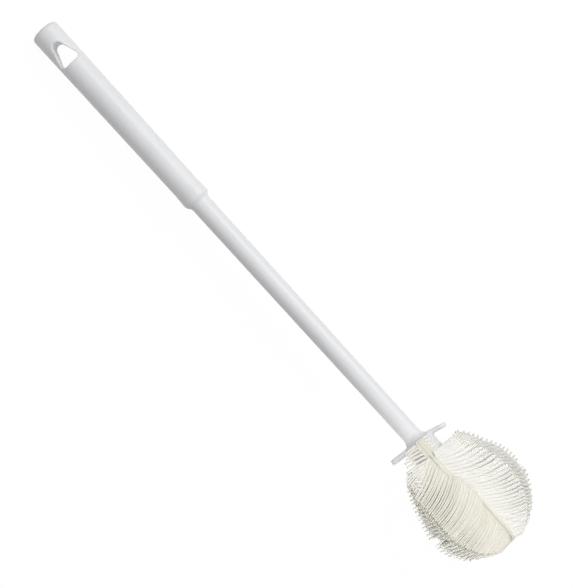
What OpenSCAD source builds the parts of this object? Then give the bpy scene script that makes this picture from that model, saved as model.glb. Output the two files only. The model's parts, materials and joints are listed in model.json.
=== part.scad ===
// Moulded bottle brush: a one-piece handle that ends in a core, and three bristle strips
// folded in a U over the core's end, one on the other, 60 degrees apart.
// Each piece is drawn on the brush's own axis (z from the end of the grip to the tip, y up)
// and then laid down: the brush rests on its lower bristles and on the end of its grip.

/* [Grip] */
// Length of the grip, from its end to the shoulder
grip_length = 125; // [90:1:160]
// Diameter of the grip at its end
grip_end_d = 16.4; // [14.5:0.1:20]
// Diameter of the grip above its lip
grip_low_d = 15.1; // [13.5:0.1:18]
// How far the lip at the bottom of the grip stands proud
lip_height = 0.3; // [0.1:0.05:1]
// Length over which the grip swells to the lip
lip_length = 8; // [4:0.5:15]
// Radius on the edge of the grip's end
grip_edge_r = 2.2; // [1:0.1:4]

/* [Hang hole] */
// Distance from the end of the grip to the hole
hole_setback = 10.8; // [8:0.1:20]
// Length of the hole along the grip
hole_length = 14.1; // [10:0.1:22]
// Width of the hole at its base
hole_width = 12.1; // [8:0.1:12.8]
// Radius of the corners at the hole's base
hole_corner_r = 2.1; // [1:0.1:3]
// Radius of the hole's apex
hole_apex_r = 2.6; // [1:0.1:3.5]
// Turn of the hole about the grip, away from straight up
hole_roll = 10; // [0:1:15]

/* [Shaft] */
// Length of the shoulder between grip and shaft
shoulder_length = 3.8; // [2:0.1:8]
// Length of the shaft, from the shoulder to the flare
shaft_length = 170.2; // [120:0.1:220]
// Diameter of the shaft under the shoulder
shaft_top_d = 11.7; // [10.6:0.1:13]
// Diameter of the shaft at the flare
shaft_low_d = 10.5; // [9:0.1:11.6]
// Length of the flare from the shaft to the core
flare_length = 4.9; // [3:0.1:8]

/* [Ears] */
// Reach of each ear, from the axis to its end
ear_reach = 18.4; // [14:0.1:24]
// Width of an ear
ear_width = 9; // [6:0.1:11]
// Thickness of an ear
ear_thickness = 2.4; // [1.5:0.1:3]
// Distance from the axis at which an ear starts to tilt
ear_root = 7; // [5.5:0.1:8.5]
// Tilt of the left ear towards the grip
left_ear_rise = 4; // [0:1:12]
// Tilt of the right ear towards the tip
right_ear_droop = 14; // [0:1:18]

/* [Core] */
// Diameter of the core inside the head
core_d = 18.5; // [16:0.1:21]

/* [Bristle strips] */
// Width of a strip's web
web_width = 6; // [4.5:0.1:7]
// Thickness of a strip's web
web_thickness = 1.3; // [1:0.1:2]
// Diameter of the ribs along the web
rib_d = 2.7; // [2:0.1:3]
// Clearance between a strip and what it lies on
strip_fit = 0.1; // [0.05:0.05:0.2]
// Room between two strips where they cross on the tip
crossing_gap = 0.2; // [0.1:0.05:0.5]
// Length of the first tier of bristles, along the strip
first_tier_length = 9; // [5:0.5:11]
// Length of the middle tier of bristles, along the strip
middle_tier_length = 24.6; // [18:0.1:26]
// Bare length of strip before the last tier
tier_gap = 9; // [4:0.1:12]

/* [Bristles] */
// Diameter of the bristle head at its widest
head_d = 67; // [56:1:80]
// Height of the head from the ears to its widest
head_upper_height = 43.5; // [38:0.5:50]
// Height of the head from its widest to the tip
head_lower_height = 30.8; // [26:0.1:36]
// Spacing of the bristles along a strip
bristle_pitch = 2.2; // [2:0.05:3]
// Width of a bristle at its root
bristle_root_w = 1.05; // [0.6:0.05:1.2]
// Width of a bristle at its tip
bristle_tip_w = 0.5; // [0.3:0.05:0.6]
// Thickness of a bristle across its row
bristle_thickness = 0.9; // [0.5:0.05:1]
// How far a bristle bows towards the tip, as a slope at its root
bristle_bow = 0.3; // [0:0.05:0.5]
// Spread of the outer strip's rows, at their tips, from straight out
outer_spread = 34; // [30:1:36]
// Spread of the two inner strips' rows, at their tips, from straight out
inner_spread = 23; // [18:1:24]
// How much longer the right side's bristles are than the round head, and the left side's shorter
side_shift = 1.7; // [0:0.1:2.5]

/* [Hidden] */
$fn = 48;
plastic_white = [0.94, 0.945, 0.95];
bristle_cream = [0.90, 0.87, 0.79];
rib_sides = 16;
rib_bend = 60;
bent_rib_d = rib_d + 0.2;
arc_steps = 8;
overlap = 0.5;
ear_seat = 0.5;
head_setback = 1.8;
bristle_steps = 2;
row_margin = 1;
strip_count = 3;
strip_turn = 60;

// Places along the axis
shoulder_z = grip_length;
shaft_top_z = shoulder_z + shoulder_length;
shaft_low_z = shaft_top_z + shaft_length;
core_top_z = shaft_low_z + flare_length;
ear_z = core_top_z + ear_seat;
head_top_z = core_top_z + head_setback;
widest_z = head_top_z + head_upper_height;
tip_z = widest_z + head_lower_height;

// Places across the axis
grip_end_r = grip_end_d / 2;
core_r = core_d / 2;
head_r = head_d / 2;
flat_r = sqrt(core_r * core_r - web_width * web_width / 4);
web_r = flat_r + strip_fit;
web_mid_r = web_r + web_thickness / 2;
web_out_r = web_r + web_thickness;

// The strips fold over the tip one on the other: 0 is the innermost, strip_count - 1 the outermost
outermost = strip_count - 1;
crossing_sag = web_width * web_width / (8 * web_r);
stack_step = web_thickness + crossing_gap + crossing_sag;
function bend_z(layer) = tip_z - web_out_r - (outermost - layer) * stack_step;
core_end_z = bend_z(0);

// Tiers of bristles: where their roots start and end along the strip. Only the outer strip has the first
first_tier_z = head_top_z + 1.5;
first_tier_end_z = first_tier_z + first_tier_length;
middle_tier_z = first_tier_end_z + bristle_pitch;
last_tier_z = middle_tier_z + middle_tier_length + tier_gap;
function last_root_z(layer) = bend_z(layer) + 0.72 * web_r;

// The outer strip's legs pass in front of and behind the ears, the side legs start at the middle tier
outer_leg_z = core_top_z - 0.5;
side_leg_z = middle_tier_z - row_margin;

// ---- Handle ----

function arc_points(cx, cz, rx, rz, from, to) = [
    for (i = [0:arc_steps])
        let (a = from + (to - from) * i / arc_steps)
            [cx + rx * cos(a), cz + rz * sin(a)]
];

// Half section of the handle: radius and place along the axis
function handle_section() =
    let (
        edge = arc_points(grip_end_r - grip_edge_r, grip_edge_r, grip_edge_r, grip_edge_r, -90, 0),
        lip_r = grip_low_d / 2 + lip_height,
        shaft_top_r = shaft_top_d / 2,
        shaft_low_r = shaft_low_d / 2,
        flare = arc_points(core_r, shaft_low_z, core_r - shaft_low_r, flare_length, 180, 90),
        dome = arc_points(0, core_end_z, flat_r, flat_r, 0, 90)
    )
    concat(
        [[0, 0]],
        edge,
        [
            [grip_low_d / 2, shoulder_z - lip_length],
            [lip_r, shoulder_z],
            [lip_r - 0.3 * (lip_r - shaft_top_r), shoulder_z + 0.45 * shoulder_length],
            [shaft_top_r + 0.2 * (lip_r - shaft_top_r), shoulder_z + 0.85 * shoulder_length],
            [shaft_top_r, shoulder_z + 1.3 * shoulder_length]
        ],
        flare,
        [[core_r, core_end_z - overlap]],
        dome
    );

// Outline of the hang hole: a triangle with round corners, its apex towards the grip's end
function hole_outline() =
    let (
        base_y = hole_length / 2 - hole_corner_r,
        base_x = hole_width / 2 - hole_corner_r,
        apex_y = -hole_length / 2 + hole_apex_r,
        rise = base_y - apex_y,
        side = atan2(base_x, rise) + asin((hole_apex_r - hole_corner_r) / norm([base_x, rise]))
    )
    concat(
        arc_points(base_x, base_y, hole_corner_r, hole_corner_r, 90, -side),
        arc_points(0, apex_y, hole_apex_r, hole_apex_r, -side, side - 180),
        arc_points(-base_x, base_y, hole_corner_r, hole_corner_r, 180 + side, 90)
    );

module hang_hole() {
    translate([0, 0, hole_setback + hole_length / 2])
        rotate([0, 0, hole_roll])
            rotate([90, 0, 0])
                linear_extrude(height = 2 * grip_end_d, center = true)
                    polygon(hole_outline());
}

// One ear along +x, tilted towards the tip by droop
module ear(droop) {
    straight = ear_reach - ear_root - ear_width / 2;
    translate([ear_root, 0, ear_z])
        rotate([0, -droop, 0])
            translate([0, 0, -ear_thickness / 2]) {
                translate([-ear_root / 2, -ear_width / 2, 0])
                    cube([ear_root / 2 + straight, ear_width, ear_thickness]);
                translate([straight, 0, 0])
                    cylinder(h = ear_thickness, d = ear_width);
            }
}

// Flat on the core that a strip's leg seats on, at the top of the brush
module leg_flat(start_z) {
    translate([-web_width, flat_r, start_z])
        cube([2 * web_width, core_r - flat_r + overlap, tip_z]);
}

module handle_body() {
    difference() {
        union() {
            rotate_extrude()
                polygon(handle_section());
            ear(right_ear_droop);
            mirror([1, 0, 0])
                ear(-left_ear_rise);
        }
        hang_hole();
        for (leg = [0:2 * strip_count - 1])
            rotate([0, 0, leg * strip_turn])
                leg_flat((leg % strip_count == 0 ? outer_leg_z : side_leg_z) - strip_fit);
    }
}

// ---- Bristle strips ----

// Radius of the head, to the bristles' tips, at a place along the axis
function head_r_at(z) =
    let (height = z < widest_z ? head_upper_height : head_lower_height)
        head_r * sqrt(max(0.05, 1 - pow((z - widest_z) / height, 2)));

// Share of the side shift that the tips have at a place along the axis: it fades below the widest place
function side_share(z) = max(0, 1 - max(0, z - widest_z) / (0.6 * head_lower_height));

// Middle of the web, from the axis, at a place along it
function web_r_at(z, layer) =
    let (past = max(0, z - bend_z(layer)))
        sqrt(max(0, web_mid_r * web_mid_r - past * past));

// Where a row of bristles leaves its web, across the web
row_x = web_width / 2 - bristle_thickness;

// Direction of a row, from straight out, that brings its widest tips to the stated spread
function row_angle(spread) =
    atan2(head_r * sin(spread) - row_x, head_r * cos(spread) - web_mid_r);

// Length of a bristle in its row's plane, from the row's foot to the head's surface
function reach(spread, tip, shift = 0) =
    let (
        a = row_angle(spread),
        along = row_x * sin(a) + web_mid_r * cos(a),
        foot2 = row_x * row_x + web_mid_r * web_mid_r,
        r = max(head_r_at(tip) + shift * side_share(tip), 1.35 * web_mid_r)
    )
    sqrt(r * r - foot2 + along * along) - along;

// Each bristle of a row is [root z, tip z]; stagger shifts the last tier of every second row
function tier_row(from, to, tip_from, tip_to, count) = [
    for (i = [0:count - 1])
        let (q = i / (count - 1))
            [from + (to - from) * q, tip_from + (tip_to - tip_from) * q]
];

function row_bristles(layer, stagger) =
    let (
        first_count = floor(first_tier_length / bristle_pitch) + 1,
        first_tips_end = first_tier_end_z - 0.2 * first_tier_length,
        middle_count = floor(middle_tier_length / bristle_pitch) + 1,
        last_from = last_tier_z + stagger * bristle_pitch / 2,
        last_count = floor((last_root_z(layer) - last_from) / bristle_pitch) + 1,
        last_to = last_from + (last_count - 1) * bristle_pitch,
        middle_to = middle_tier_z + middle_tier_length
    )
    concat(
        layer == outermost
            ? tier_row(first_tier_z, first_tier_end_z, first_tier_z, first_tips_end, first_count)
            : [],
        tier_row(middle_tier_z, middle_to, middle_tier_z + row_margin, last_tier_z - row_margin, middle_count),
        tier_row(last_from, last_to, last_from + row_margin, last_to + row_margin, last_count)
    );

// One edge of a bristle, side -1 towards the grip and 1 towards the tip, from root to tip
function bristle_edge(b, root_s, tip_s, side) = [
    for (i = [0:bristle_steps])
        let (
            q = i / bristle_steps,
            half_w = (bristle_root_w * (1 - q) + bristle_tip_w * q) / 2,
            bow = bristle_bow * (tip_s - root_s) * q * (1 - q)
        )
        [root_s + (tip_s - root_s) * q, b[0] + (b[1] - b[0]) * q + bow + side * half_w]
];

function reversed(list) = [for (i = [len(list) - 1:-1:0]) list[i]];

// Outline of one row: its bristles in turn, and its foot, which is sunk in the web
function row_outline(layer, spread, stagger, shift) =
    let (
        bristles = row_bristles(layer, stagger),
        last = bristles[len(bristles) - 1],
        c = cos(row_angle(spread)),
        sink = web_thickness / 4
    )
    concat(
        [
            for (b = bristles)
                let (root_s = (web_r_at(b[0], layer) - web_mid_r) / c)
                    each concat(
                        bristle_edge(b, root_s, reach(spread, b[1], shift), -1),
                        reversed(bristle_edge(b, root_s, reach(spread, b[1], shift), 1))
                    )
        ],
        [
            for (i = [arc_steps:-1:0])
                let (z = bend_z(layer) + (last[0] + bristle_root_w / 2 - bend_z(layer)) * i / arc_steps)
                    [(web_r_at(z, layer) - web_mid_r - sink) / c, z]
        ],
        [[-sink / c, bristles[0][0] - bristle_root_w / 2]]
    );

// One row of bristles of the leg on top, on its right side
module bristle_row(layer, spread, stagger, shift) {
    translate([row_x, web_mid_r, 0])
        rotate([0, 0, 90 - row_angle(spread)])
            rotate([90, 0, 0])
                linear_extrude(height = bristle_thickness, center = true)
                    polygon(row_outline(layer, spread, stagger, shift));
}

// A straight rib along the leg on top
module straight_rib(x, from, to) {
    translate([x, web_out_r, from])
        cylinder(h = to - from, d = rib_d, $fn = rib_sides);
}

// A rib carried over the start of the bend, a little fatter than the straight rib that runs into it
module bent_rib(x, layer) {
    translate([x, 0, bend_z(layer)])
        rotate([90, 0, 90])
            rotate_extrude(angle = rib_bend, $fn = rib_sides)
                translate([web_out_r, 0])
                    circle(d = bent_rib_d, $fn = rib_sides);
}

// One leg of a strip; each of its two rows is longer by its own shift
module leg(layer, spread, start_z, right_shift, left_shift) {
    rib_x = web_width / 2 - rib_d / 2 - 0.1;
    fork_z = middle_tier_z + middle_tier_length;
    straight_rib(0, start_z, fork_z + overlap);
    for (x = [-rib_x, rib_x]) {
        straight_rib(x, fork_z, bend_z(layer) + overlap);
        bent_rib(x, layer);
    }
    bristle_row(layer, spread, 0, right_shift);
    mirror([1, 0, 0])
        bristle_row(layer, spread, 1, left_shift);
}

// The web of a strip: up one side, over the tip and down the other side
module web(layer, start_z) {
    rotate([90, 0, 90])
        linear_extrude(height = web_width, center = true)
            polygon(concat(
                [[web_out_r, start_z]],
                arc_points(0, bend_z(layer), web_out_r, web_out_r, 0, 90),
                arc_points(0, bend_z(layer), web_out_r, web_out_r, 90, 180),
                [[-web_out_r, start_z], [-web_r, start_z]],
                arc_points(0, bend_z(layer), web_r, web_r, 180, 90),
                arc_points(0, bend_z(layer), web_r, web_r, 90, 0),
                [[web_r, start_z]]
            ));
}

// A strip; side is the side of the brush that its leg on top lies on: 1 right, -1 left, 0 straight up.
// That leg's row that faces sideways has the side shift, and the other leg's has it the other way
module strip(layer, spread, start_z, side) {
    for (end = [1, -1])
        rotate([0, 0, end > 0 ? 0 : 180])
            leg(layer, spread, start_z, max(side, 0) * end * side_shift, min(side, 0) * end * side_shift);
    web(layer, start_z);
}

// ---- Lying at rest ----

// How far below the axis the lowest bristle of a row reaches, at its tip
function drop(spread, tip) =
    let (a = row_angle(spread))
        web_mid_r + reach(spread, tip) * cos(a) + bristle_thickness / 2 * sin(a);

lowest_tips = [for (b = row_bristles(outermost, 0)) [b[1], drop(outer_spread, b[1])]];
lie_angle = atan2(drop(outer_spread, widest_z) - grip_end_r, widest_z - grip_edge_r);
head_bottom = min([for (p = lowest_tips) p[0] * sin(lie_angle) - p[1] * cos(lie_angle)]);
grip_bottom = grip_edge_r * sin(lie_angle) - (grip_end_r - grip_edge_r) * cos(lie_angle) - grip_edge_r;
lie_height = -min(head_bottom, grip_bottom);
lie_back = -grip_end_r * sin(lie_angle);
lie_front = tip_z * cos(lie_angle);

module lay_down() {
    translate([-(lie_back + lie_front) / 2, -side_shift, lie_height])
        rotate([0, -lie_angle, 0])
            rotate([90, 0, 90])
                children();
}

// ---- Pieces ----

module handle() {
    color(plastic_white)
        lay_down()
            handle_body();
}

module outer_strip() {
    color(bristle_cream)
        lay_down()
            strip(2, outer_spread, outer_leg_z, 0);
}

module middle_strip() {
    color(bristle_cream)
        lay_down()
            rotate([0, 0, strip_turn])
                strip(1, inner_spread, side_leg_z, -1);
}

module inner_strip() {
    color(bristle_cream)
        lay_down()
            rotate([0, 0, -strip_turn])
                strip(0, inner_spread, side_leg_z, 1);
}

handle();
outer_strip();
middle_strip();
inner_strip();
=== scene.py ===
# %% [markdown]
# # A moulded bottle brush
#
# The brush is two materials in four mouldings. One long white handle has a grip, a thin shaft, two ears
# and a core that the strips cover. Three cream strips, each a flat web with rows of bristles along both
# edges, fold over the end of the core, one on the other, 60 degrees apart.
#
# Every piece is modelled on the brush's own axis, because a round thing is easiest to draw there: z runs
# from the end of the grip to the tip, y points to the top of the lying brush, and x to its right. Left
# and right are as one sees them from above with the tip at the bottom. One matrix then lays a piece down.

import json
import math
import random

import bmesh
import bpy
import numpy as np
from mathutils import Matrix, Vector


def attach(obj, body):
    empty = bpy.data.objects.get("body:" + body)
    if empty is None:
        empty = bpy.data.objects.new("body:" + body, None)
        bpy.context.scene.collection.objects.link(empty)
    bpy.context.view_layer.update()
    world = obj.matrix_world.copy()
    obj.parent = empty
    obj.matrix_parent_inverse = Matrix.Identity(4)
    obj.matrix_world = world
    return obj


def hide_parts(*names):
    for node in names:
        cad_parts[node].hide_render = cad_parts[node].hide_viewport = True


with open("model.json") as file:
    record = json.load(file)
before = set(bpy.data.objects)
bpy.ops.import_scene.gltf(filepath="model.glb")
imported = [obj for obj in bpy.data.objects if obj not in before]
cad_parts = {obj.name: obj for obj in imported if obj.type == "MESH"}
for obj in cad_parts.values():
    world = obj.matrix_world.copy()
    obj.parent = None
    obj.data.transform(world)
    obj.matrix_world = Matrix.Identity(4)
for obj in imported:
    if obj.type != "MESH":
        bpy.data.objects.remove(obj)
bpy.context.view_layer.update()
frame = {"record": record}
mm = 0.001

# %% [markdown]
# The record says where the flat end of the grip is and which way it faces. The brush's axis starts there
# and runs the other way, so the matrix that lays a piece down comes from the record, with no fitting.

# %% Where the brush lies
mounts = {m["name"]: m for m in frame["record"]["mounts"]}
grip_end = Vector(mounts["handle_end"]["pos_m"])
along = -Vector(mounts["handle_end"]["axis"]).normalized()
across = Vector((0, 1, 0))
upwards = along.cross(across)
lay_down = Matrix.Translation(grip_end) @ Matrix((across, upwards, along)).transposed().to_4x4()
print("the brush rises", round(math.degrees(math.asin(along.z)), 2), "degrees towards its tip")

# %% [markdown]
# A few small helpers keep each later cell to the shape that it is about. Everything is deselected before
# each operator, and a finished piece has its place in its mesh, rides on the one body and takes the
# place of its plain solid.


# %% Helpers for objects
def deselect():
    """Leaves nothing selected."""
    if bpy.context.object and bpy.context.object.mode == "EDIT":
        bpy.ops.object.mode_set(mode="OBJECT")
    bpy.ops.object.select_all(action="DESELECT")


def pick(*objects):
    """Selects these objects only, the first of them active."""
    deselect()
    for o in objects:
        o.select_set(True)
    bpy.context.view_layer.objects.active = objects[0]


def named(name):
    """Gives the object that was just added its name."""
    made = bpy.context.object
    made.name = name
    made.data.name = name
    return made


def place_in_mesh(piece):
    """Applies an object's place, turn and size to its mesh."""
    pick(piece)
    bpy.ops.object.transform_apply(location=True, rotation=True, scale=True)
    return piece


def apply_modifier(piece, kind, **settings):
    """Adds one modifier with these settings and applies it."""
    pick(piece)
    modifier = piece.modifiers.new(kind.lower(), kind)
    for key, value in settings.items():
        setattr(modifier, key, value)
    bpy.ops.object.modifier_apply(modifier=modifier.name)


def join(name, *objects):
    """Joins objects into one, with this name."""
    pick(*objects)
    bpy.ops.object.join()
    return named(name)


def finish_piece(piece, slot, *nodes):
    """Lays a piece down and ties it to the frame."""
    piece.data.transform(lay_down)
    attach(piece, "root")
    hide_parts(*nodes)


def count(piece):
    """Prints how many triangles a piece has."""
    triangles = sum(len(p.vertices) - 2 for p in piece.data.polygons)
    print(piece.name, "has", triangles, "triangles")


# %% [markdown]
# ## The handle's sizes
#
# The handle is one moulding. Its sizes are those of the solid: the grip tapers from its end to a small
# lip, a short shoulder steps down to the shaft, and the shaft flares into the core.

# %% Sizes of the handle
grip_length = 125 * mm
grip_end_r = 8.2 * mm
grip_low_r = 7.55 * mm
grip_edge_r = 2.2 * mm
lip_r = 7.85 * mm
lip_step = 0.1 * mm
lip_length = 8 * mm
shoulder_length = 3.8 * mm
shaft_top_r = 5.85 * mm
shaft_low_r = 5.25 * mm
shaft_low_z = 299 * mm
flare_length = 4.9 * mm
flare_edge = 0.2 * mm
core_r = 9.25 * mm
core_top_z = shaft_low_z + flare_length
side_leg_z = 317.4 * mm
web_seat_r = 8.7 * mm
core_end_z = 365.8 * mm
body_sides = 128
rod_sides = 48

# %% [markdown]
# A turned form is a circle that is extruded and resized again and again. The list below holds only the
# heights and radii at which the outline changes, and round stretches come from short arcs.


# %% Turn the handle's body
def arc(centre_r, centre_z, r_r, r_z, start, end, steps):
    """Points of an arc in the outline: radius and height."""
    angles = [math.radians(start + (end - start) * i / steps) for i in range(steps + 1)]
    return [(centre_r + r_r * math.cos(a), centre_z + r_z * math.sin(a)) for a in angles]


def ease(z, r, length, end_r, steps):
    """Points of a smooth step from one radius to another."""
    shares = [i / steps for i in range(steps + 1)]
    return [(r + (end_r - r) * (1 - math.cos(math.pi * q)) / 2, z + length * q) for q in shares]


def turned(name, outline, sides):
    """A closed turned body through the outline's points."""
    deselect()
    first_r, first_z = outline[0]
    bpy.ops.mesh.primitive_circle_add(
        vertices=sides, radius=first_r, fill_type="TRIFAN", location=(0, 0, first_z))
    body = place_in_mesh(named(name))
    bpy.ops.object.mode_set(mode="EDIT")
    bpy.ops.mesh.select_all(action="DESELECT")
    bpy.ops.mesh.select_mode(type="EDGE")
    mesh = bmesh.from_edit_mesh(body.data)
    for edge in mesh.edges:
        edge.select_set(edge.is_boundary)
    bmesh.update_edit_mesh(body.data)
    for (r, z), (next_r, next_z) in zip(outline, outline[1:]):
        bpy.ops.mesh.extrude_region_move(TRANSFORM_OT_translate={"value": (0, 0, next_z - z)})
        bpy.ops.transform.resize(value=(next_r / r, next_r / r, 1), center_override=(0, 0, next_z))
    bpy.ops.mesh.edge_face_add()
    bpy.ops.mesh.select_all(action="SELECT")
    bpy.ops.mesh.normals_make_consistent(inside=False)
    bpy.ops.object.mode_set(mode="OBJECT")
    return body


handle_outline = (
    arc(grip_end_r - grip_edge_r, grip_edge_r, grip_edge_r, grip_edge_r, -90, 0, 6)
    + [(grip_low_r, grip_length - lip_length)]
    + ease(grip_length - lip_length / 2, lip_r - lip_step, lip_length / 3, lip_r, 2)
    + ease(grip_length, lip_r, shoulder_length, shaft_top_r, 7)
    + arc(core_r, shaft_low_z, core_r - shaft_low_r, flare_length, 180, 92, 8)
    + [(core_r, core_top_z + flare_edge), (core_r, side_leg_z), (web_seat_r, side_leg_z)]
    + arc(0, core_end_z, web_seat_r, web_seat_r, 0, 80, 8)
)
handle = turned("handle_moulding", handle_outline, body_sides)
count(handle)

# %% [markdown]
# The two ears stand out sideways where the shaft meets the core. Each is a flat bar with a round end.
# The left one leans a little towards the grip and the right one towards the tip, as they left the mould.

# %% Add the ears
ear_reach = 18.4 * mm
ear_root = 7 * mm
ear_width = 9 * mm
right_ear_thickness = 2.5 * mm
left_ear_thickness = 3.0 * mm
ear_z = core_top_z + 0.5 * mm
left_ear_rise = 4
right_ear_droop = 14


def ear(name, side, droop, thickness):
    """One ear, on the side +1 or -1, leaning towards the tip by droop degrees."""
    end_r = ear_width / 2
    straight = ear_reach - ear_root - end_r
    deselect()
    bpy.ops.mesh.primitive_cylinder_add(
        vertices=rod_sides, radius=end_r, depth=thickness, location=(straight, 0, 0))
    blade = place_in_mesh(named(name))
    bpy.ops.object.mode_set(mode="EDIT")
    bpy.ops.mesh.select_all(action="DESELECT")
    mesh = bmesh.from_edit_mesh(blade.data)
    for face in mesh.faces:
        face.select_set(face.normal.x < -0.1 and abs(face.normal.z) < 0.5)
    bmesh.update_edit_mesh(blade.data)
    bpy.ops.mesh.extrude_region_move(
        TRANSFORM_OT_translate={"value": (-straight - ear_root / 2, 0, 0)})
    bpy.ops.object.mode_set(mode="OBJECT")
    lean = Matrix.Rotation(-math.radians(droop), 4, "Y")
    turn = Matrix.Rotation(0 if side > 0 else math.pi, 4, "Z")
    blade.data.transform(turn @ Matrix.Translation((ear_root, 0, ear_z)) @ lean)
    return blade


ears = [ear("right_ear", 1, right_ear_droop, right_ear_thickness),
        ear("left_ear", -1, -left_ear_rise, left_ear_thickness)]

# %% [markdown]
# The hang hole is a triangle with round corners. Three upright rods stand at its corners and a convex
# hull is drawn round them, which gives the exact outline of such a hole. It is turned a few degrees about
# the grip, so a little of one inner wall shows from above.

# %% Cut the hang hole
hole_setback = 10.8 * mm
hole_length = 14.1 * mm
hole_width = 11.6 * mm
hole_corner_r = 2.4 * mm
hole_apex_r = 2.8 * mm
hole_roll = 4
apex_z = hole_setback + hole_apex_r
base_z = hole_setback + hole_length - hole_corner_r
corner_x = hole_width / 2 - hole_corner_r
corners = [(0, apex_z, hole_apex_r), (corner_x, base_z, hole_corner_r), (-corner_x, base_z, hole_corner_r)]
rods = []
for x, z, r in corners:
    deselect()
    bpy.ops.mesh.primitive_cylinder_add(
        vertices=rod_sides, radius=r, depth=4 * grip_end_r, location=(x, 0, z),
        rotation=(math.pi / 2, 0, 0))
    rods.append(place_in_mesh(named("hole_corner")))
hole = join("hole_cutter", *rods)
bpy.ops.object.mode_set(mode="EDIT")
bpy.ops.mesh.select_all(action="SELECT")
bpy.ops.mesh.convex_hull()
bpy.ops.object.mode_set(mode="OBJECT")
hole.data.transform(Matrix.Rotation(math.radians(hole_roll), 4, "Z"))
apply_modifier(handle, "BOOLEAN", operation="DIFFERENCE", solver="EXACT", object=hole)
bpy.data.objects.remove(hole)
count(handle)

# %% [markdown]
# Ears, body and hole are still sharp where they meet. A moulding has a small round on every edge, so the
# whole is rebuilt from small cells and then relaxed, which melts the edges together by about half a
# millimetre and leaves the long faces as they are.

# %% Melt the handle into one moulding
cell = 0.5 * mm
melting_rounds = 8
handle = join("handle_moulding", handle, *ears)
apply_modifier(handle, "REMESH", mode="VOXEL", voxel_size=cell, adaptivity=0.0)
apply_modifier(handle, "SMOOTH", factor=0.5, iterations=melting_rounds)
bpy.ops.object.shade_smooth()
count(handle)

# %% [markdown]
# ## The bristle strips' sizes
#
# Each strip's web lies on the core, runs over its end and down the other side. Strip 0 is folded first
# and strip 2 last, so each lies one step further out at the tip. All three drift a few degrees round the
# core on their way to the tip, as strips do that are pushed on from the end. The fold over the end is a
# little flatter than a half circle, because the strip is pulled tight there.

# %% Sizes of the strips
tip_z = 380 * mm
web_width = 6 * mm
web_thickness = 1.3 * mm
web_r = 8.85 * mm
web_out_r = web_r + web_thickness
stack_step = 2.0 * mm
outer_leg_z = core_top_z - 0.5 * mm
rib_r = 1.35 * mm
fork_z = 331 * mm
rib_bend = 60
fold_flatness = 0.8
upper_turn = 3
lower_turn = 18
drift_start_z = 329 * mm
drift_end_z = 347 * mm


def bend_z(layer):
    """Where a strip's legs end and its fold begins."""
    return tip_z - web_out_r - (2 - layer) * stack_step


def smooth_share(value, start, end):
    """0 before start, 1 after end, and smooth between them."""
    q = min(1, max(0, (value - start) / (end - start)))
    return q * q * (3 - 2 * q)


def strip_turn(z):
    """How far round the core a strip has drifted at this height, in degrees."""
    return upper_turn + (lower_turn - upper_turn) * smooth_share(z, drift_start_z, drift_end_z)


# %% [markdown]
# The web starts as a small rectangle at the foot of one leg. It is pulled up to the bend, spun half a
# turn about the end of the core and pulled down the other leg, exactly the path that the strip takes. The
# feet of both legs are then narrowed to a tongue.

# %% Model a web
web_pulls = 40
tongue_share = 0.45
tongue_from = -1 * mm
tongue_to = 2.6 * mm


def web(name, layer, start_z):
    """The flat web of one strip."""
    top = bend_z(layer)
    deselect()
    bpy.ops.mesh.primitive_plane_add(size=1, location=(0, (web_r + web_out_r) / 2, start_z))
    band = named(name)
    band.scale = (web_width, web_thickness, 1)
    place_in_mesh(band)
    bpy.ops.object.mode_set(mode="EDIT")
    bpy.ops.mesh.select_mode(type="FACE")
    bpy.ops.mesh.select_all(action="SELECT")
    for _ in range(web_pulls):
        bpy.ops.mesh.extrude_region_move(
            TRANSFORM_OT_translate={"value": (0, 0, (top - start_z) / web_pulls)})
    bpy.ops.mesh.spin(steps=24, angle=math.pi, center=(0, 0, top), axis=(-1, 0, 0))
    for _ in range(web_pulls):
        bpy.ops.mesh.extrude_region_move(
            TRANSFORM_OT_translate={"value": (0, 0, (start_z - top) / web_pulls)})
    bpy.ops.mesh.select_all(action="SELECT")
    bpy.ops.mesh.remove_doubles(threshold=0.001 * mm)
    bpy.ops.mesh.normals_make_consistent(inside=False)
    bpy.ops.object.mode_set(mode="OBJECT")
    for v in band.data.vertices:
        full = smooth_share(v.co.z, start_z + tongue_from, start_z + tongue_to)
        v.co.x *= tongue_share + (1 - tongue_share) * full
        v.co.z = min(v.co.z, top + fold_flatness * (v.co.z - top))
    apply_modifier(band, "BEVEL", width=0.35 * mm, segments=2, limit_method="ANGLE",
                   angle_limit=math.radians(40))
    return band


# %% [markdown]
# A round rib stiffens the upper half of each leg and starts thin at the foot. Two ribs side by side, with a
# seam between them, stiffen the lower half and run out on the fold. They are drawn as curves with a round
# bevel, which are easy to route, and then made meshes.

# %% Model the ribs
single_steps = 24
leg_steps = 12
bend_steps = 10
fork_x = 1.55 * mm
fork_overlap = 1 * mm
seam_r = 0.5 * rib_r
rib_foot_share = 0.55
rib_thin_z = 313 * mm
rib_full_z = 318 * mm
rib_end_rings = 4
rib_end_step = 0.12


def rod(name, points, radii):
    """A round rod through the points, each with its own radius."""
    deselect()
    bpy.ops.curve.primitive_bezier_curve_add()
    route = named(name)
    route.data.splines.clear()
    spline = route.data.splines.new("POLY")
    spline.points.add(len(points) - 1)
    for spot, place, r in zip(spline.points, points, radii):
        spot.co = (*place, 1)
        spot.radius = r / mm
    route.data.dimensions = "3D"
    route.data.bevel_depth = 1 * mm
    route.data.bevel_resolution = 2
    route.data.use_fill_caps = True
    route.location = (0, 0, 0)
    pick(route)
    bpy.ops.object.convert(target="MESH")
    return place_in_mesh(bpy.context.object)


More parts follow.
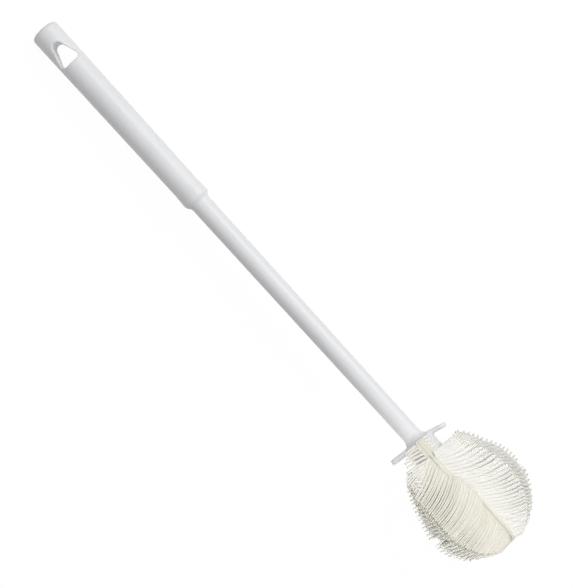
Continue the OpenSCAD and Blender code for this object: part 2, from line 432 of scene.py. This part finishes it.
def rib_route(layer, x, from_z, to_angle):
    """Points of a rib: up the leg from a height, then round the bend by an angle."""
    top = bend_z(layer)
    legs = [(x, web_out_r, from_z + (top - from_z) * i / leg_steps) for i in range(leg_steps + 1)]
    turns = [math.radians(to_angle * (i + 1) / bend_steps) for i in range(bend_steps)]
    return legs + [(x, web_out_r * math.cos(a), top + fold_flatness * web_out_r * math.sin(a))
                   for a in turns]


def ribs(layer, start_z):
    """The ribs of the front leg."""
    single = [(0, web_out_r, start_z + (fork_z - start_z) * i / single_steps)
              for i in range(single_steps + 1)]
    radii = [rib_r * (rib_foot_share + (1 - rib_foot_share) * smooth_share(z, rib_thin_z, rib_full_z))
             for _, _, z in single]
    made = [rod("rib", single, radii)]
    for x, r in ((-fork_x, rib_r), (0, seam_r), (fork_x, rib_r)):
        route = rib_route(layer, x, fork_z - fork_overlap, rib_bend)
        run_out = [r * (1 - rib_end_step * i) for i in range(rib_end_rings)]
        made.append(rod("rib", route, [r] * (len(route) - rib_end_rings) + run_out))
    return made


# %% [markdown]
# ## The bristles
#
# A bristle is a thin tapered rod, set in its web and cut to the round outline of the head. One is
# modelled as a six-sided cone in five lengths. Each copy has its own mesh, and its rings are moved along
# that bristle's own curve, so that no two of them are quite alike.

# %% Model one bristle
bristle_root_r = 0.6 * mm
bristle_tip_r = 0.36 * mm
bristle_sides = 6
bristle_lengths = 5
deselect()
bpy.ops.mesh.primitive_cone_add(
    vertices=bristle_sides, radius1=bristle_root_r, radius2=bristle_tip_r, depth=1, location=(0, 0, 0.5))
pattern = place_in_mesh(named("bristle_pattern"))
bpy.ops.object.mode_set(mode="EDIT")
bpy.ops.mesh.select_mode(type="EDGE")
bpy.ops.mesh.select_all(action="DESELECT")
pattern_mesh = bmesh.from_edit_mesh(pattern.data)
for edge in pattern_mesh.edges:
    edge.select_set(abs(edge.verts[0].co.z - edge.verts[1].co.z) > 0.5)
bmesh.update_edit_mesh(pattern.data)
bpy.ops.mesh.subdivide(number_cuts=bristle_lengths - 1)
bpy.ops.object.mode_set(mode="OBJECT")
bpy.ops.object.shade_smooth()
count(pattern)

pattern_points = np.array([v.co for v in pattern.data.vertices])
pattern_share = pattern_points[:, 2].copy()
pattern_ring = pattern_points[:, :2].copy()

# %% [markdown]
# The head is round, but its bristles were cut a little longer on the right than on the left. Two tables
# against the height give the reach of the tips on either side, in millimetres, and a bristle's tip lies
# on the outline that runs smoothly from one to the other.


# %% The outline of the head
def follow(heights, values):
    """A value that follows the height, between the places of a table."""
    return lambda z: float(np.interp(z / mm, heights, values))


right_reach = follow(
    [306, 312, 318.6, 323.3, 327.3, 331.7, 336, 340, 349, 353.5, 357.3, 363.7, 369.1, 371.8, 375, 376.9,
     378.5],
    [15, 19.5, 24.9, 27.2, 29.2, 31.7, 33.5, 34.5, 34.9, 34.2, 33.0, 29.5, 25.0, 22.2, 17.0, 12.5, 8])
left_reach = follow(
    [306, 312.4, 316.9, 320.5, 325.1, 329.9, 334.4, 341.9, 348, 354.6, 360, 363.7, 369.1, 372.5, 375, 376.5,
     378.2],
    [13, 16.1, 20.1, 22.9, 24.9, 26.6, 28.3, 30.5, 31.6, 31.5, 30.5, 28.3, 24.5, 19.8, 14.8, 12, 8.5])


def head_r_at(z, facing):
    """Radius of the head at a height, at an angle from straight up, clockwise seen from the tip."""
    right, left = right_reach(z) * mm, left_reach(z) * mm
    return (right + left) / 2 + (right - left) / 2 * math.sin(math.radians(facing)) ** 3


# %% [markdown]
# A bristle's curve is the straight line from root to tip plus a smooth swing along the brush, set by how
# much it leans at its root and at its tip. Most of them lean towards the tip of the brush at first and
# straighten out at their ends, because the strip was bent round the core after it was moulded. Its tone, a
# number for the colour, is a little warmer and darker at the root: painted shade where the bristles stand
# close together at the web.

# %% Place one bristle
# The root has this share of the tip's tone: painted shade at the foot of each bristle
root_tone = 0.7


def around(angle, r, z):
    """A point at a height and radius, at an angle from straight up, clockwise seen from the tip."""
    a = math.radians(angle)
    return Vector((r * math.sin(a), r * math.cos(a), z))


def bristle(root, tip, root_lean, tip_lean, thickness, shade):
    """A copy of the pattern along a curve from root to tip; shade is its tone, 0 warm and 1 pale, which
    carries painted light and shade as well as the plastic's own tone.
    """
    line = tip - root
    length = line.length
    axis = Vector((0, 0, 1))
    side = line.cross(axis).normalized()
    q = pattern_share[:, None]
    swing = length * (root_lean * q * (1 - q) ** 2 - tip_lean * q ** 2 * (1 - q))
    centre = np.array(root) + q * np.array(line) + swing * np.array(axis)
    rise = length * (root_lean * (1 - q) * (1 - 3 * q) - tip_lean * q * (2 - 3 * q))
    direction = np.array(line) + rise * np.array(axis)
    direction /= np.linalg.norm(direction, axis=1)[:, None]
    second = np.cross(direction, np.array(side))
    ring = pattern_ring * thickness
    points = centre + ring[:, :1] * np.array(side) + ring[:, 1:] * second
    copy = pattern.copy()
    copy.data = pattern.data.copy()
    copy.data.vertices.foreach_set("co", points.ravel())
    tone = copy.data.attributes.new("tone", "FLOAT", "POINT")
    tone.data.foreach_set("value", shade * (root_tone + (1 - root_tone) * pattern_share))
    bpy.context.scene.collection.objects.link(copy)
    return copy


# %% [markdown]
# ## The rows
#
# A row's bristles stand about evenly along its strip, in three tiers with a small gap between them.
# How far each tip is ahead of its root, and how it leans, changes slowly along the row, so a row is
# described by a few tables against the height from the end of the grip, in millimetres. Small random
# amounts keep the row from looking like a comb.

# %% Make a row
dice = random.Random(11)
trim = 0.985
untidy_height = 0.25
untidy_trim = 0.012
untidy_angle = 1.6
untidy_root_lean = 0.04
untidy_tip_lean = 0.06
untidy_tone = 0.15
thickness_range = (0.92, 1.06)


def spaced(first, last, pitch):
    """Heights from the first to the last, close to the pitch apart."""
    steps = max(1, round((last - first) / pitch))
    return [(first + (last - first) * i / steps) * mm for i in range(steps + 1)]


def always(value):
    """A value that is the same at every height."""
    return lambda z: value


def moved(roots, share):
    """The same heights, each moved on by a share of the way to the next."""
    return [z + share * (after - z) for z, after in zip(roots, roots[1:])]


def row(roots, foot, angle, turn, lead, root_lean, tip_lean, cut, thickness, untidy, pale):
    """One row of bristles; foot gives each root's place, turn how far its strip is turned, lead how far its
    tip is ahead, cut how far from the axis it ends, as a share of the head's radius, and pale its tone, in
    which painted light and shade are set."""
    made = []

    def off(amount):
        return dice.uniform(-amount, amount) * untidy

    for z in roots:
        end_z = z + (lead(z) + off(untidy_height)) * mm
        end_r = head_r_at(end_z, turn + angle(z)) * cut * (trim + off(untidy_trim))
        tip = around(angle(z) + off(untidy_angle), end_r, end_z)
        made.append(bristle(
            foot(z), tip, root_lean(z) + off(untidy_root_lean), tip_lean(z) + off(untidy_tip_lean),
            thickness * dice.uniform(*thickness_range), pale + dice.uniform(-untidy_tone, untidy_tone)))
    return made


# %% [markdown]
# The outer strip's left rows cross over its own ribs in the middle of the head, because the mould left
# their roots on the far side there. Everywhere else a row starts beside the ribs.

# %% Where the rows start
bristle_pitch = 2.25
last_tier_z = 352.6
crossing_x = 4.1 * mm
crossing_lift = 0.3 * mm
crossing_starts = (326 * mm, 335 * mm)
crossing_ends = (350.5 * mm, 352 * mm)
foot_r = web_out_r + 0.25 * mm


def beside(x, r, layer):
    """Feet at a distance beside the ribs, that follow the strip round its fold."""
    def place(z):
        past = max(0, z - bend_z(layer))
        height = math.sqrt(max(0, r * r - past * past))
        return around(strip_turn(z), height, z) + Matrix.Rotation(
            -math.radians(strip_turn(z)), 3, "Z") @ Vector((x, 0, 0))
    return place


def crossing(x, r, layer):
    """Feet beside the ribs that move to their far side in the middle of the head."""
    near = beside(x, r, layer)

    def place(z):
        share = smooth_share(z, *crossing_starts) * (1 - smooth_share(z, *crossing_ends))
        far = Vector((crossing_x, math.sqrt((r + crossing_lift) ** 2 - crossing_x ** 2), z))
        return near(z).lerp(far, share)
    return place


# %% [markdown]
# Between the ears and the first gap the outer strip has a few short bristles. On the left they splay out and
# lean back towards the ear, the last of them lying a little higher, and on the right they are only stubs.
# The left ones are painted darker, as shade on the shaded side of the head, and the stubs paler, as light on
# its lit side.

# %% First tier of the outer strip
# For each left bristle: heights of its root and its tip, and how far out its tip lies
first_tier_left = [(304.6, 304.5, 9.0), (306.3, 305.9, 9.8), (308.4, 307.1, 11.5), (310.6, 308.2, 13.6),
                   (312.9, 310.4, 13.9), (315.2, 312.5, 16.0), (316.0, 314.6, 18.0), (316.4, 316.2, 19.4),
                   (316.8, 317.6, 20.0), (317.2, 319.0, 18.5)]
first_tier_right = [304.5, 306.3, 308.4, 310.5, 312.6, 314.8]
tier_foot_x = 2.7 * mm
tier_foot_r = web_out_r - 0.5 * mm
tier_thickness = 1.5
# The left bristles get darker tones: painted shade on the shaded side of the head
left_tier_shaded_tones = (0.5, 0.7)
tier_y = 10.6
tier_climb = 0.6
last_level = 5
short_reach = 6.5
stub_reach = 7.0
stub_y = 9.6
stub_lead = 0.4
# The right stubs get paler tones: painted light on the lit side of the head
right_stub_lit_tones = (0.85, 1.0)


def first_tier(layer, front):
    """The first tier of one leg; on the leg below, the left bristles are as short as the right ones."""
    made = []
    for i, (root_z, end_z, out) in enumerate(first_tier_left):
        out = out if front else short_reach
        foot = beside(-tier_foot_x, tier_foot_r, layer)(root_z * mm)
        tip = Vector((-out * mm, (tier_y + tier_climb * max(0, i - last_level)) * mm, end_z * mm))
        made.append(bristle(foot, tip, root_lean=-0.1, tip_lean=0.1, thickness=tier_thickness,
                            shade=dice.uniform(*left_tier_shaded_tones)))
    for root_z in first_tier_right:
        foot = beside(tier_foot_x, tier_foot_r, layer)(root_z * mm)
        tip = Vector((stub_reach * mm, stub_y * mm, (root_z + stub_lead) * mm))
        made.append(bristle(foot, tip, root_lean=0.1, tip_lean=0.0, thickness=tier_thickness,
                            shade=dice.uniform(*right_stub_lit_tones)))
    return made


# %% [markdown]
# The outer strip faces up. Its rows fan out to both sides: on each side one row on top, and others that
# lie lower and part of a step along, which fill the gaps of the first. Short bristles at the grip's end
# of each fan, the shoulders, close it there. On the leg below the fans are narrower and have no
# shoulders.

# %% Rows of the outer strip
left_lead = follow([315.8, 319, 324.6, 330, 337.2, 341.5, 345.9, 350.5, 352.6, 355.6, 358.9, 362.7, 366.5,
                    372, 378],
                   [9.5, 8.6, 7.6, 8.4, 9.6, 8.8, 6.5, 3.0, 0.8, 3.6, 5.6, 6.0, 5.4, 3.2, 0.4])
left_root_lean = follow([316, 325, 335, 350, 352.6, 358, 366, 376],
                        [0.10, 0.22, 0.36, 0.40, 0.0, 0.2, 0.25, 0.1])
left_tip_lean = follow([316, 335, 350, 352.6, 366], [-0.20, -0.32, -0.30, -0.05, -0.25])
right_lead = follow([316.2, 322, 330, 345, 352, 360, 368, 375, 378], [5, 7.5, 9.5, 11, 10.5, 8, 5, 2.2, 0.8])
right_root_lean = follow([316, 340, 376], [0.35, 0.35, 0.15])
right_tip_lean = follow([316, 340, 376], [-0.30, -0.34, -0.2])

outer_end_share = 0.75
# For each left row: what is added to its angle, and what more on the leg below, the share of a step that it
# stands along, its thickness and tone. The tones are painted shade: darker than the right rows' because the
# left of the head lies in shade, and darker still under the top row, for the shade between its bristles
left_row_table = [(0, 12, 0, 1.2, 0.27), (-1.5, 8, 0.5, 1.35, 0.2), (-4, 4, 0.25, 1.5, 0.1),
                  (-6, 0, 0.75, 1.5, 0.1)]
left_angle = [-58, -54, -47, -42, -40]
left_angle_z = [316, 319, 324, 330, 335]
# Each row starts a little further from the ribs than the one before it, and a little deeper, in mm
first_foot_x = 1.3
next_foot_x = 0.1
left_foot_lift = 0.35
left_foot_sink = 0.4
right_foot_sink = 0.2
# For each right row, on the leg above and on the leg below: its angle and its cut
right_above = [(56, 0.96), (57.5, 0.96), (59, 0.96), (61, 0.96), (63, 0.96), (66, 1), (69.5, 1), (73, 1)]
right_below = [(32, 0.95), (36, 0.95), (40, 0.95), (44, 0.95), (48, 0.95), (52, 1)]
# The shoulders close the fans towards the grip: angle and height of each tip
left_shoulder = [(59, 324.2), (60, 322.8), (61, 321.4), (62, 320.0), (63, 318.6)]
right_shoulder = [(a, z) for z in (323.6, 322.5, 321.4, 320.2, 319.0, 317.8, 316.6, 315.5, 314.6)
                  for a in (58, 63, 68, 73)]
shoulder_cut = 0.93
shoulder_foot_x = 2.0 * mm
shoulder_root_z = 313.4
shoulder_low_z = 312
shoulder_root_share = 0.15


def outer_rows(layer, front, turn):
    """The rows of one leg of the outer strip."""
    last_z = (bend_z(layer) + outer_end_share * web_r) / mm
    left_roots = (spaced(315.8, 325.0, 2.1) + spaced(327.0, 337.0, 1.95) + spaced(339.1, 350.2, 2.2)
                  + spaced(last_tier_z, 358.2, 1.1) + spaced(359.6, last_z, 1.6))
    right_roots = spaced(316.0, last_z, bristle_pitch)
    made = []
    for i, (added, added_below, share, thickness, pale) in enumerate(left_row_table):
        foot = crossing((-first_foot_x - next_foot_x * i) * mm,
                        foot_r + (left_foot_lift - left_foot_sink * i) * mm, layer)
        angle = follow(left_angle_z, [a + added + (0 if front else added_below) for a in left_angle])
        made += row(moved(left_roots, share), foot, angle, turn, left_lead, left_root_lean,
                    left_tip_lean, cut=1.0 if front else 0.95, thickness=thickness, untidy=0.4, pale=pale)
    # The right rows are almost white: painted light on the lit side of the head
    for i, (angle, cut) in enumerate(right_above if front else right_below):
        foot = beside((first_foot_x + next_foot_x * i) * mm, foot_r - right_foot_sink * mm * i, layer)
        made += row(moved(right_roots, i % 3 / 3), foot, always(angle), turn, right_lead, right_root_lean,
                    right_tip_lean, cut=cut, thickness=1.3 if i == 0 else 1.65, untidy=0.5, pale=0.97)
    for side, shoulder in ((-1, left_shoulder), (1, right_shoulder)) if front else ():
        for angle, end_z in shoulder:
            tip = around(side * angle, head_r_at(end_z * mm, side * angle) * shoulder_cut, end_z * mm)
            root_z = shoulder_root_z + shoulder_root_share * (end_z - shoulder_low_z)
            foot = beside(side * shoulder_foot_x, foot_r, layer)(root_z * mm)
            # The left shoulders are painted darker, as shade, and the right ones paler, as light
            made.append(bristle(foot, tip, root_lean=0.1, tip_lean=-0.15, thickness=1.6,
                                shade=0.6 if side < 0 else 1.0))
    return made + first_tier(layer, front)


# %% [markdown]
# The two inner strips make the sides of the head. Each of their legs carries rows at several angles,
# four deep, so that the sides are thick, and only the last few millimetres of the tips stand free. The
# rows in the gap between the tiers are cut shorter. On the middle strip the tips bend back towards the
# grip. A crown of short bristles closes the head towards the grip, and a few stray ones cross the gap.

# %% Rows of the inner strips
back_lead = follow([318.4, 330, 343, 352.6, 372], [-2.2, 1.5, 6.0, 1.0, 2.0])
back_root_lean = follow([318, 343, 352.6, 372], [0.05, 0.3, 0.30, 0.1])
back_tip_lean = follow([318, 343, 352.6, 362, 372], [-0.50, -0.68, -0.85, -0.7, -0.2])
ahead_lead = follow([318.4, 330, 343, 352.6, 372], [-4.2, 0.6, 6.0, 1.6, 3.4])
ahead_root_lean = follow([318, 343, 352.6, 372], [-0.15, 0.2, 0.1, 0.1])
ahead_tip_lean = follow([318, 343, 352.6, 372], [-0.35, -0.55, 0.1, 0.25])
# For each row, on the leg above and on the leg below: its angle and its cut
side_table = [(-9, 0.88), (-4, 0.89), (1, 0.90), (6, 0.92), (11, 0.93), (15, 0.94), (19, 0.95), (23, 1.0),
              (27, 0.93)]
lower_table = [(-15, 0.97), (-10, 0.97), (-5, 0.97), (0, 0.96), (5, 0.95), (10, 0.94), (15, 0.92),
               (19, 0.92), (23, 0.92), (27, 0.93), (31, 0.93)]
# For each layer of a row: share of a step that it stands along, its cut, thickness and tone. The deeper
# layers have the paler tones, painted light where shade falls between the rows. A layer is also turned back,
# by its share of a few degrees
side_layers = [(0, 1, 1.25, 0.75), (0.5, 0.94, 1.5, 0.9), (0.25, 0.88, 1.7, 1.0), (0.75, 0.88, 1.7, 1.0)]
layer_turn = 3
inner_end_share = 0.85
# The row at this angle is the longest, at the very side of the head, and starts this far out, in mm
edge_angle = 23
edge_foot_x = 2.6
# Rows away from the side start further along, by this much for each degree, in mm
sweep = 0.07
# Rows at a wide angle start a little deeper
wide_angle = 10
wide_foot_sink = 0.5 * mm
# In the gap between the tiers, the rows at the side are cut shorter than the others
side_angle = 20
gap_cut = 0.93
side_gap_cut = 0.87
crown_root_z = 317.8
crown_heights = (0, 1.5, 3.0)
crown_angles = (9, 13, 17, 21, 25)
crown_cuts = (0.88, 0.97)


def inner_rows(layer, front, turn, outward, leans, crown_z, strays, lowest=-30):
    """The rows of one leg of an inner strip; outward is the side, +1 or -1, of its longest row, crown_z
    the height where its crown starts, and lowest the smallest angle at which it has a row."""
    last_z = (bend_z(layer) + inner_end_share * web_r) / mm
    upper = spaced(318.4, 343, 1.64)
    in_gap = spaced(345.2, 350.4, bristle_pitch)
    lower = spaced(last_tier_z, last_z, bristle_pitch)
    made = []
    for angle, cut in side_table if front else lower_table:
        if angle < lowest:
            continue
        swept = sweep * (edge_angle - angle) * mm
        foot_x = outward * angle / edge_angle * edge_foot_x * mm
        foot = beside(foot_x, foot_r - wide_foot_sink * (abs(angle) > wide_angle), layer)
        cut_in_gap = (gap_cut if angle < side_angle else side_gap_cut) * cut
        for roots, cut_here in (upper, cut), (in_gap, cut_in_gap), (lower, cut):
            for share, layer_cut, thickness, pale in side_layers:
                places = [min(z + swept, last_z * mm) for z in moved(roots, share)]
                made += row(places, foot, always(outward * (angle - layer_turn * share)), turn, *leans,
                            cut=cut_here * layer_cut, thickness=thickness, untidy=0.4, pale=pale)
    for ahead in crown_heights if front else ():
        for angle in crown_angles:
            end_z = (crown_z + ahead + dice.uniform(-0.4, 0.4)) * mm
            end_r = head_r_at(end_z, turn + outward * angle) * dice.uniform(*crown_cuts)
            foot_x = outward * angle / edge_angle * edge_foot_x * mm
            foot = beside(foot_x, foot_r, layer)((crown_root_z + ahead / 3) * mm)
            made.append(bristle(foot, around(outward * angle, end_r, end_z), root_lean=-0.1,
                                tip_lean=-0.25, thickness=1.5, shade=0.95))
    for root_z, end_z in strays:
        end_r = head_r_at(end_z * mm, turn + outward * edge_angle) * trim
        foot = beside(outward * edge_foot_x * mm, foot_r, layer)(root_z * mm)
        made.append(bristle(foot, around(outward * edge_angle, end_r, end_z * mm), root_lean=0.3,
                            tip_lean=-0.4, thickness=0.75, shade=0.8))
    return made


# %% [markdown]
# A strip is its web, the ribs and rows of one leg, and those of the other leg, turned by half a turn. The
# web and the ribs are given the drift round the core here, height by height; the rows already have it,
# because their feet follow it.


# %% Put a strip together
def drift(piece):
    """Turns each point of a piece about the axis by the strip's drift at its height."""
    for v in piece.data.vertices:
        v.co = Matrix.Rotation(-math.radians(strip_turn(v.co.z)), 3, "Z") @ v.co


def half_turned_copy(piece):
    """A copy with its own mesh, turned half round the axis."""
    copy = piece.copy()
    copy.data = piece.data.copy()
    copy.data.transform(Matrix.Rotation(math.pi, 4, "Z"))
    bpy.context.scene.collection.objects.link(copy)
    return copy


def strip(name, node, layer, start_z, turn, leg_rows):
    """One bristle strip, turned round the axis by so many degrees and laid down in its place."""
    backbone = web("web", layer, start_z)
    front_ribs = join("ribs", *ribs(layer, start_z + rib_r))
    back_ribs = half_turned_copy(front_ribs)
    for part in (backbone, front_ribs, back_ribs):
        drift(part)
    front_rows = join("front_rows", *leg_rows(layer, True, turn))
    back_rows = join("back_rows", *leg_rows(layer, False, turn + 180))
    back_rows.data.transform(Matrix.Rotation(math.pi, 4, "Z"))
    piece = join(name, backbone, front_ribs, back_ribs, front_rows, back_rows)
    piece.data.transform(Matrix.Rotation(math.radians(-turn), 4, "Z"))
    bpy.ops.object.shade_smooth_by_angle(angle=math.radians(50))
    finish_piece(piece, "bristles", node)
    count(piece)
    return piece


outer = strip("outer_bristles", "outer_strip", 2, outer_leg_z, 0, outer_rows)
middle = strip("middle_bristles", "middle_strip", 1, side_leg_z, -60,
               lambda layer, front, turn: inner_rows(
                   layer, front, turn, -1, (back_lead, back_root_lean, back_tip_lean), 316.4,
                   [(345.2, 352.3), (348.4, 354.0)]))
inner = strip("inner_bristles", "inner_strip", 0, side_leg_z, 60,
              lambda layer, front, turn: inner_rows(
                  layer, front, turn, 1, (ahead_lead, ahead_root_lean, ahead_tip_lean), 314.4,
                  [(347.5, 354.6)], 5 if front else -30))
bpy.data.objects.remove(pattern)
finish_piece(handle, "handle", "handle")

# %% [markdown]
# ## The two plastics
#
# The handle is satin white polypropylene: nearly neutral, a little soft in its highlights, with the very
# faint waviness of a long moulding. A broad noise moves its roughness and colour, and a fine one gives
# the bump.


# %% Helpers for materials
def material(name, base, roughness):
    """A plain plastic to build on, and its node tree and shader."""
    made = bpy.data.materials.new(name)
    made.use_nodes = True
    shader = made.node_tree.nodes["Principled BSDF"]
    shader.inputs["Base Color"].default_value = (*base, 1)
    shader.inputs["Roughness"].default_value = roughness
    return made, made.node_tree, shader


def noise(tree, size, detail):
    """Noise on the piece's own coordinates, with features of about this size."""
    place = tree.nodes.new("ShaderNodeTexCoord")
    made = tree.nodes.new("ShaderNodeTexNoise")
    made.inputs["Scale"].default_value = 1 / size
    made.inputs["Detail"].default_value = detail
    tree.links.new(place.outputs["Object"], made.inputs["Vector"])
    return made


def between(tree, source, low, high):
    """Spreads a value between two others."""
    made = tree.nodes.new("ShaderNodeMapRange")
    made.inputs["From Min"].default_value = 0.3
    made.inputs["From Max"].default_value = 0.7
    made.inputs["To Min"].default_value = low
    made.inputs["To Max"].default_value = high
    tree.links.new(source, made.inputs["Value"])
    return made.outputs["Result"]


def ramp(tree, source, stops):
    """Colours along a value."""
    made = tree.nodes.new("ShaderNodeValToRGB")
    bands = made.color_ramp
    while len(bands.elements) < len(stops):
        bands.elements.new(0.5)
    for element, (place, colour) in zip(bands.elements, stops):
        element.position = place
        element.color = (*colour, 1)
    tree.links.new(source, made.inputs["Fac"])
    return made.outputs["Color"]


def bump(tree, shader, source, strength, distance):
    """Lets a value raise the surface."""
    made = tree.nodes.new("ShaderNodeBump")
    made.inputs["Strength"].default_value = strength
    made.inputs["Distance"].default_value = distance
    tree.links.new(source, made.inputs["Height"])
    tree.links.new(made.outputs["Normal"], shader.inputs["Normal"])


# %% White plastic of the handle
white_plastic, tree, shader = material("white_plastic", (0.85, 0.855, 0.87), 0.38)
broad = noise(tree, 30 * mm, 2)
tree.links.new(between(tree, broad.outputs["Fac"], 0.33, 0.43), shader.inputs["Roughness"])
tree.links.new(
    ramp(tree, broad.outputs["Fac"], [(0.35, (0.835, 0.842, 0.86)), (0.65, (0.86, 0.864, 0.875))]),
    shader.inputs["Base Color"])
fine = noise(tree, 0.9 * mm, 3)
bump(tree, shader, fine.outputs["Fac"], 0.12, 0.05 * mm)
shader.inputs["Subsurface Weight"].default_value = 0.08
shader.inputs["Subsurface Radius"].default_value = (1.0, 0.95, 0.9)
shader.inputs["Subsurface Scale"].default_value = 1.5 * mm
handle.data.materials.clear()
handle.data.materials.append(white_plastic)

# %% [markdown]
# The strips are a softer, cream plastic. Each bristle carries its tone in an attribute, from its root to its
# tip, and a ramp turns the tone into a colour. The tone differs a little at random, and it also carries
# painted light and shade: darker rows on the left of the head, under the top rows and at the roots, and
# paler ones on the right and deep in the sides. Webs and ribs have no tone and are the warmest, as such
# plastic is where it is thick, and the thin tips are the palest.

# %% Cream plastic of the strips
cream_plastic, tree, shader = material("cream_plastic", (0.84, 0.81, 0.74), 0.45)
# The tone holds painted light and shade besides the plastic's own tone
tone = tree.nodes.new("ShaderNodeAttribute")
tone.attribute_name = "tone"
cream = ramp(tree, tone.outputs["Fac"], [
    (0.0, (0.81, 0.78, 0.68)), (0.3, (0.855, 0.835, 0.76)), (0.6, (0.91, 0.896, 0.84)),
    (1.0, (0.96, 0.95, 0.905))])
tree.links.new(cream, shader.inputs["Base Color"])
blotches = noise(tree, 6 * mm, 2)
tree.links.new(between(tree, blotches.outputs["Fac"], 0.40, 0.52), shader.inputs["Roughness"])
grain = noise(tree, 0.35 * mm, 2)
bump(tree, shader, grain.outputs["Fac"], 0.15, 0.04 * mm)
for piece in (outer, middle, inner):
    piece.data.materials.clear()
    piece.data.materials.append(cream_plastic)

# %% [markdown]
# ## Floor, light and camera
#
# The brush lies on a white floor. To the camera the floor is almost pure white and keeps a faint shadow,
# while the brush itself is lit only by the floor's plain diffuse colour. The sky is white to the camera
# too, and gives less light than it shows.


# %% Floor and sky
white = (1, 1, 1, 1)
floor_size = 8
floor_glow = 0.965
sky_light = 0.34
sky_shown = 1.0


def seen_directly(tree):
    """1 for rays from the camera and for what mirrors or glass show, and 0 for other rays."""
    path = tree.nodes.new("ShaderNodeLightPath")
    total = path.outputs["Is Camera Ray"]
    for name in ("Is Glossy Ray", "Is Transmission Ray"):
        either = tree.nodes.new("ShaderNodeMath")
        either.operation = "MAXIMUM"
        tree.links.new(total, either.inputs[0])
        tree.links.new(path.outputs[name], either.inputs[1])
        total = either.outputs["Value"]
    return total


deselect()
bpy.ops.mesh.primitive_plane_add(size=floor_size, location=(0, 0, 0))
floor = named("floor")
floor_paint, tree, shader = material("floor_paint", (0.62, 0.62, 0.62), 0.9)
faint = tree.nodes.new("ShaderNodeBsdfDiffuse")
faint.inputs["Color"].default_value = (0.05, 0.05, 0.05, 1)
glow = tree.nodes.new("ShaderNodeEmission")
glow.inputs["Strength"].default_value = floor_glow
both = tree.nodes.new("ShaderNodeAddShader")
tree.links.new(faint.outputs["BSDF"], both.inputs[0])
tree.links.new(glow.outputs["Emission"], both.inputs[1])
choose = tree.nodes.new("ShaderNodeMixShader")
tree.links.new(seen_directly(tree), choose.inputs["Fac"])
tree.links.new(shader.outputs["BSDF"], choose.inputs[1])
tree.links.new(both.outputs["Shader"], choose.inputs[2])
tree.links.new(choose.outputs["Shader"], tree.nodes["Material Output"].inputs["Surface"])
floor.data.materials.append(floor_paint)

sky = bpy.data.worlds.new("studio")
bpy.context.scene.world = sky
sky.use_nodes = True
tree = sky.node_tree
dim = tree.nodes["Background"]
dim.inputs["Color"].default_value = white
dim.inputs["Strength"].default_value = sky_light
bright = tree.nodes.new("ShaderNodeBackground")
bright.inputs["Color"].default_value = white
bright.inputs["Strength"].default_value = sky_shown
choose = tree.nodes.new("ShaderNodeMixShader")
tree.links.new(seen_directly(tree), choose.inputs["Fac"])
tree.links.new(dim.outputs["Background"], choose.inputs[1])
tree.links.new(bright.outputs["Background"], choose.inputs[2])
tree.links.new(choose.outputs["Shader"], tree.nodes["World Output"].inputs["Surface"])

# %% [markdown]
# One large soft lamp stands to the right of the brush, about 40 degrees up, so that the round handle
# shades evenly from its right side to its left. A second one hangs above and fills the spaces between the
# bristles. A small spot on the left, past the tip, brightens the head only.


# %% Lamps
def lamp(name, kind, place, target, watts, **settings):
    """A lamp that faces a target, with the settings of its kind."""
    deselect()
    bpy.ops.object.light_add(type=kind, location=place)
    made = named(name)
    made.data.energy = watts
    for key, value in settings.items():
        setattr(made.data, key, value)
    made.rotation_euler = (Vector(target) - Vector(place)).to_track_quat("-Z", "Y").to_euler()
    print(name, "has", watts, "W")


middle_of_brush = (0, 0, 0)
middle_of_head = (0.156, -0.006, 0.028)
lamp("key_lamp", "AREA", (0.0, 1.20, 1.05), middle_of_brush, 12.8, size=1.0)
lamp("top_lamp", "AREA", (0.05, 0.0, 1.7), middle_of_brush, 4, size=0.8)
lamp("head_lamp", "SPOT", (0.35, -0.45, 0.30), middle_of_head, 9,
     shadow_soft_size=0.06, spot_size=math.radians(13), spot_blend=0.8)

# %% [markdown]
# The camera looks straight down on the lying brush. Its picture is turned so that the brush runs from
# the upper left to the lower right, and a long lens keeps the perspective flat.

# %% Camera
picture_height = 588
mm_per_pixel = 0.5444
lens = 150
sensor = 36
look_at = Vector((7.27, -0.35, 18.0)) * mm
right = Vector((0.6727, 0.7399, 0))
up = Vector((-0.7399, 0.6727, 0))
back = right.cross(up)
distance = lens / sensor * picture_height * mm_per_pixel * mm
stand = look_at + back * distance
deselect()
bpy.ops.object.camera_add(location=stand)
camera = named("camera")
camera.matrix_world = Matrix.Translation(stand) @ Matrix((right, up, back)).transposed().to_4x4()
print("the camera stands", round(distance, 2), "m above the brush")
camera.data.lens = lens
camera.data.sensor_width = sensor
bpy.context.scene.camera = camera
bpy.context.scene.view_settings.view_transform = "Standard"
